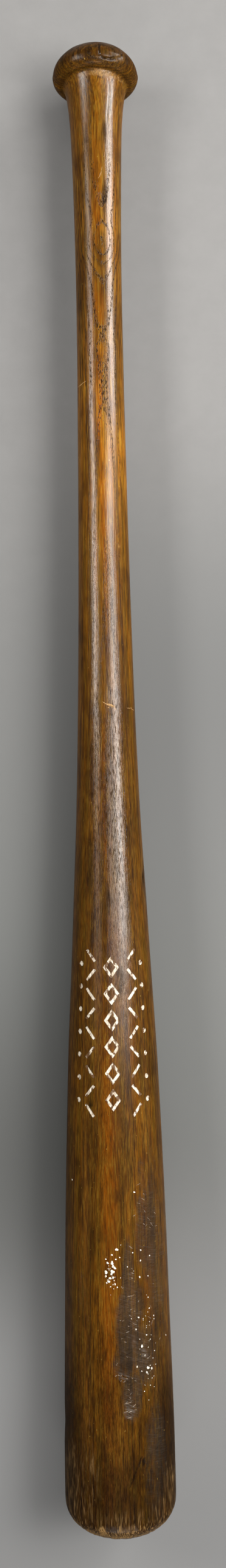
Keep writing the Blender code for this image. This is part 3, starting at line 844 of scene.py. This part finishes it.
def sliverMaterial():
    material = bpy.data.materials.new("bare_torn_ash")
    add = nodeAdder(material)
    place = add("Attribute", {}, "Vector", attribute_name="batPlace")
    chalky = add("Attribute", {}, "Fac", attribute_name="chalky")
    fray = add("TexNoise", {
        "Vector": place, "Scale": slivers["fraysPerMm"], "Detail": 3.0, "Roughness": 0.6}, "Fac")
    start, full = slivers["shadows"]
    shaded = add("MapRange", {"Value": fray, 1: start, 2: full}, **smoothly)
    colour = add("Mix", {0: chalky, 1: linear(ash["bare"]), 2: linear(slivers["chalky"])},
                 data_type="RGBA")
    colour = add("Mix", {0: shaded, 1: colour, 2: linear(slivers["shade"])}, data_type="RGBA")
    shader = add("BsdfPrincipled", {"Base Color": colour, "Roughness": slivers["roughness"], "IOR": 1.5})
    add("OutputMaterial", {"Surface": shader})
    return material


def makeSlivers():
    lengths, widths = slivers["rubbedLength"], slivers["rubbedWidth"]
    shapes = slivers["strokes"] + scattered(slivers["rubbed"], lengths, widths, slivers["rubbedTurn"])
    torn = makeDomes("torn_fibres", shapes, slivers["rise"], sliverMaterial())
    along = batPlaces(torn)[:, 1]
    saveValues(torn.data, {"chalky": fade(along, *slivers["chalkyFrom"])})


# Camera over the bat, with the studio round it
view = {
    "aim": 432.35,              # mm along the bat's axis to the point under the lens
    "aside": 3.06,              # mm to the right of it
    "height": 697,              # mm from the bat's axis to the lens
    "lean": 1.04,               # degrees that the bat leans in the frame
    "lens": 27.04, "sensor": 36, "clipStart": 0.05,
}
studio = {
    "floor": "#7B7C7D", "floorMark": "#707172",
    "mottlesPerMetre": 60,      # mottles of 17 mm and finer
    "paintedFloorShading": [             # painted shade and light on the paper, in m: a soft spot's middle, reach and full part; its colour
        # Painted light and shade: a broad darker area round the barrel half, painted shadows left of the
        # barrel and right of the middle, and lighter paper beyond the tip
        ((-0.05, -0.15, 0.0), 0.44, 0.0, "#656868"), ((0.0, -0.52, 0.0), 0.31, 0.14, "#848688"),
        ((-0.09, -0.22, 0.0), 0.15, 0.0, "#575959"), ((0.06, 0.05, 0.0), 0.20, 0.0, "#626465"),
    ],
    "floorSize": 8.0, "blend": (0.47, 0.95),        # m: where the paper runs out into the room
    "horizon": "#A09E9B", "ceiling": "#424244",     # the room that the finish mirrors
    "softboxes": {              # each end's mm along and degrees from overhead, mm wide, radiance
        "leftNear": ((250, -38), (560, -41), 250, 2.5),
        "left": ((560, -42), (1060, -45), 260, 16.0),
        "leftFar": ((1060, -45), (1320, -49), 260, 5.0),
        "rightNear": ((290, 40), (960, 32), 430, 12.0),
        "rightMid": ((190, 24), (590, 26), 900, 4.5),
        "rightBroad": ((380, 34), (620, 34), 640, 4.5),
        "rightFar": ((960, 61), (1700, 59), 400, 17.0),
        "front": ((-1050, -30), (-1050, 30), 500, 3.4),
    },
    "softboxAway": 1000,        # mm from the bat's axis
    "softboxTint": (1.0, 0.955, 0.90),              # a little warmer than daylight
}


def placeCamera():
    camera = newObject("camera", bpy.data.cameras.new("camera"))
    lean = math.radians(view["lean"])
    right = acrossAxis * math.cos(lean) - alongAxis * math.sin(lean)
    up = alongAxis * math.cos(lean) + acrossAxis * math.sin(lean)
    pose = Matrix((right, up, upAxis)).transposed().to_4x4()
    pose.translation = batFrame @ Vector((view["aside"], view["aim"], view["height"]))
    camera.matrix_world = pose
    camera.data.lens = view["lens"]
    camera.data.sensor_width = view["sensor"]
    camera.data.clip_start = view["clipStart"]
    bpy.context.scene.camera = camera


def lightStudio():
    away = studio["softboxAway"]
    for name, (start, end, width, radiance) in studio["softboxes"].items():
        ends = []
        for along, angle in (start, end):
            turn = math.radians(angle)
            ends.append(batFrame @ Vector((away * math.sin(turn), along, away * math.cos(turn))))
        middle, length = (ends[0] + ends[1]) / 2, (ends[1] - ends[0]).length
        lamp = bpy.data.lights.new(name + "Softbox", "AREA")
        lamp.shape = "RECTANGLE"
        lamp.size, lamp.size_y = width / 1000, length
        lamp.energy = radiance * math.pi * lamp.size * lamp.size_y
        lamp.color = studio["softboxTint"]
        upright = (ends[1] - ends[0]).normalized()
        outward = middle - batFrame @ Vector((0, 0, 0))
        outward = (outward - upright * outward.dot(upright)).normalized()
        pose = Matrix((upright.cross(outward), upright, outward)).transposed().to_4x4()
        pose.translation = middle
        softbox = newObject(name + "Softbox", lamp)
        softbox.matrix_world = pose
        softbox.visible_camera = False

    world = bpy.data.worlds.new("studio")
    bpy.context.scene.world = world
    add = nodeAdder(world)
    direction = add("TexCoord", {}, "Generated")
    height = add("SeparateXYZ", {"Vector": direction}, "Z")
    overhead = add("MapRange", {"Value": height, 1: 0.0, 2: 0.5}, **smoothly)
    grey = add("Mix", {0: overhead, 1: linear(studio["horizon"]), 2: linear(studio["ceiling"])},
               data_type="RGBA")
    room = add("Background", {"Color": grey, "Strength": 1.0})
    add("OutputWorld", {"Surface": room})


# Matt studio paper, grey with faint mottling and soft spots of painted shade and light, which runs out into
# the grey of the room
def layFloor():
    material = bpy.data.materials.new("matt_studio_paper")
    add = nodeAdder(material)
    place = add("TexCoord", {}, "Object")
    mottle = add("TexNoise", {
        "Vector": place, "Scale": studio["mottlesPerMetre"], "Detail": 7.0, "Roughness": 0.7}, "Fac")
    colour = add("Mix", {0: mottle, 1: linear(studio["floor"]), 2: linear(studio["floorMark"])},
                 data_type="RGBA")
    # Soft spots of painted shade and light, laid into the paper's colour
    for spot, reach, full, paintedShading in studio["paintedFloorShading"]:
        away = add("VectorMath", {0: place, 1: spot}, "Value", operation="DISTANCE")
        share = add("MapRange", {"Value": away, 1: reach, 2: full}, **smoothly)
        colour = add("Mix", {0: share, 1: colour, 2: linear(paintedShading)}, data_type="RGBA")
    paper = add("BsdfPrincipled", {"Base Color": colour, "Roughness": 0.9})
    glow = add("Emission", {"Color": linear(studio["horizon"]), "Strength": 1.0})
    far = add("VectorMath", {0: place}, "Value", operation="LENGTH")
    start, end = studio["blend"]
    far = add("MapRange", {"Value": far, 1: start, 2: end}, **smoothly)
    rays = add("LightPath", {}, "Is Camera Ray").node.outputs
    seen = add("Math", {0: rays["Is Camera Ray"], 1: rays["Is Glossy Ray"]}, operation="ADD")
    seen = add("Math", {0: seen, 1: rays["Is Transmission Ray"]}, operation="ADD", use_clamp=True)
    share = add("Math", {0: far, 1: seen}, operation="MULTIPLY")
    both = add("MixShader", {0: share, 1: paper, 2: glow})
    add("OutputMaterial", {"Surface": both})
    half = studio["floorSize"] / 2
    corners = [(-half, -half, 0), (half, -half, 0), (half, half, 0), (-half, half, 0)]
    mesh = bpy.data.meshes.new("floor")
    mesh.from_pydata(corners, [], [(0, 1, 2, 3)])
    mesh.materials.append(material)
    newObject("floor", mesh)


def makeBillet(names):
    wood = turnBillet(ashMaterial())
    print("billet turned:", len(wood.data.polygons), "faces")
    stampBillet(wood, names)
    saveWoodMaps(wood)
    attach(wood, "root")
    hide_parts("ash_billet")
    print("mark stamped:", len(wood.data.polygons), "faces")


bpy.context.scene.view_settings.view_transform = "Standard"
placeCamera()
lightStudio()
layFloor()
print("camera, lights and floor are set")

fillNames = sorted(name for name in nodes if name.startswith("paint_"))
paint = markPaintMaterial()
for name in fillNames:
    fillStamp(name, paint)
print("stamp filled with paint:", len(fillNames), "shapes")
makeSplashes()
makeSlivers()
print("paint splashes and torn fibres added")
makeBillet(fillNames)

bpy.context.view_layer.update()
